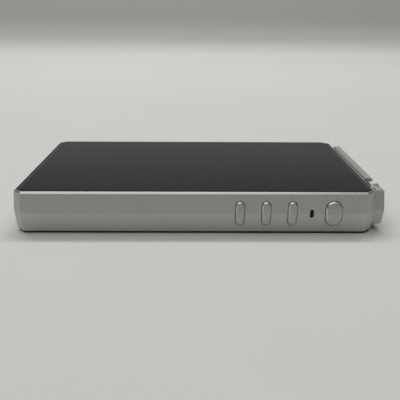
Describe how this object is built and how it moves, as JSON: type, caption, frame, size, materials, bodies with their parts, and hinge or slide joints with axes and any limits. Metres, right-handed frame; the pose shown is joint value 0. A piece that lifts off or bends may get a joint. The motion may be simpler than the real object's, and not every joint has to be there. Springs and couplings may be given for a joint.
{
  "type": "touch-screen music player",
  "caption": "Slab-shaped pocket music player: full glass face, V-section aluminium sides, side buttons and a guarded knurled volume wheel at the top end.",
  "frame": {"origin": "centre of the body's underside, on the back cover's outer face", "axes": "+Z out of the screen, +X towards the top end with the volume wheel, -Y out of the side with the buttons"},
  "size_m": [0.1215, 0.0682, 0.0142],
  "materials": {
    "anodised_frame": "bead-blasted, clear anodised",
    "anodised_button": "bead-blasted, clear anodised",
    "front_glass": "polished black-backed glass, opaque",
    "back_glass": "polished black-backed glass, opaque",
    "display": "gloss",
    "foam": "matt foam",
    "ribbon": "satin polyimide",
    "knurled_wheel": "straight knurled, satin",
    "steel": "satin",
    "screw": "satin",
    "brass": "turned",
    "black_plastic": "moulded, matt",
    "white_plastic": "moulded, matt",
    "circuit_board": "solder mask, satin",
    "battery_foil": "satin foil",
    "shield_can": "satin tin plate",
    "chip_black": "moulded, matt",
    "indicator": "smoked window"
  },
  "bodies": {
    "body": {"amplifier_chip_1": "chip_black", "amplifier_chip_2": "chip_black", "audio_shield": "shield_can", "back_cover": "back_glass", "balanced_jack": "black_plastic", "battery_board": "circuit_board", "battery_cell": "battery_foil", "battery_foam": "foam", "battery_lead": "black_plastic", "bottom_board": "circuit_board", "bottom_board_screw_1": "screw", "bottom_board_screw_2": "screw", "bracket_screw_1": "screw", "bracket_screw_2": "screw", "capacitor_1": "chip_black", "capacitor_2": "chip_black", "card_socket": "steel", "clock_oscillator": "chip_black", "converter_chip_1": "chip_black", "converter_chip_2": "chip_black", "display_panel": "display", "display_ribbon": "ribbon", "end_guard": "anodised_frame", "front_glass": "front_glass", "glass_tape": "foam", "guard_screw_1": "screw", "guard_screw_2": "screw", "headphone_jack": "black_plastic", "indicator_lamp": "white_plastic", "indicator_window": "indicator", "key_board": "circuit_board", "key_bracket": "steel", "link_plug_1": "black_plastic", "link_plug_2": "black_plastic", "link_ribbon": "ribbon", "main_board": "circuit_board", "main_board_screw_1": "screw", "main_board_screw_2": "screw", "main_board_screw_3": "screw", "main_board_screw_4": "screw", "main_frame": "anodised_frame", "memory_chip": "chip_black", "next_switch": "black_plastic", "play_switch": "black_plastic", "power_switch": "black_plastic", "previous_switch": "black_plastic", "processor_chip": "chip_black", "processor_shield": "shield_can", "radio_antenna": "ribbon", "usb_socket": "steel", "wheel_bush": "brass", "wheel_encoder": "black_plastic"},
    "volume_wheel": {"volume_wheel": "knurled_wheel", "wheel_shaft": "steel"},
    "previous_button": {"previous_button": "anodised_button"},
    "play_button": {"play_button": "anodised_button"},
    "next_button": {"next_button": "anodised_button"},
    "power_button": {"power_button": "anodised_button"}
  },
  "joints": [
    {"name": "volume_turn", "type": "hinge", "parent": "body", "child": "volume_wheel", "pos_m": [0.0607, -0.02215, 0.00945], "axis": [1, 0, 0], "continuous": true},
    {"name": "previous_press", "type": "slide", "parent": "body", "child": "previous_button", "axis": [0, 1, 0], "range_m": [0, 0.0003], "stiffness_N_per_m": 2500, "springref_m": -0.0002},
    {"name": "play_press", "type": "slide", "parent": "body", "child": "play_button", "axis": [0, 1, 0], "range_m": [0, 0.0003], "stiffness_N_per_m": 2500, "springref_m": -0.0002},
    {"name": "next_press", "type": "slide", "parent": "body", "child": "next_button", "axis": [0, 1, 0], "range_m": [0, 0.0003], "stiffness_N_per_m": 2500, "springref_m": -0.0002},
    {"name": "power_press", "type": "slide", "parent": "body", "child": "power_button", "axis": [0, 1, 0], "range_m": [0, 0.0003], "stiffness_N_per_m": 2500, "springref_m": -0.0002}
  ]
}
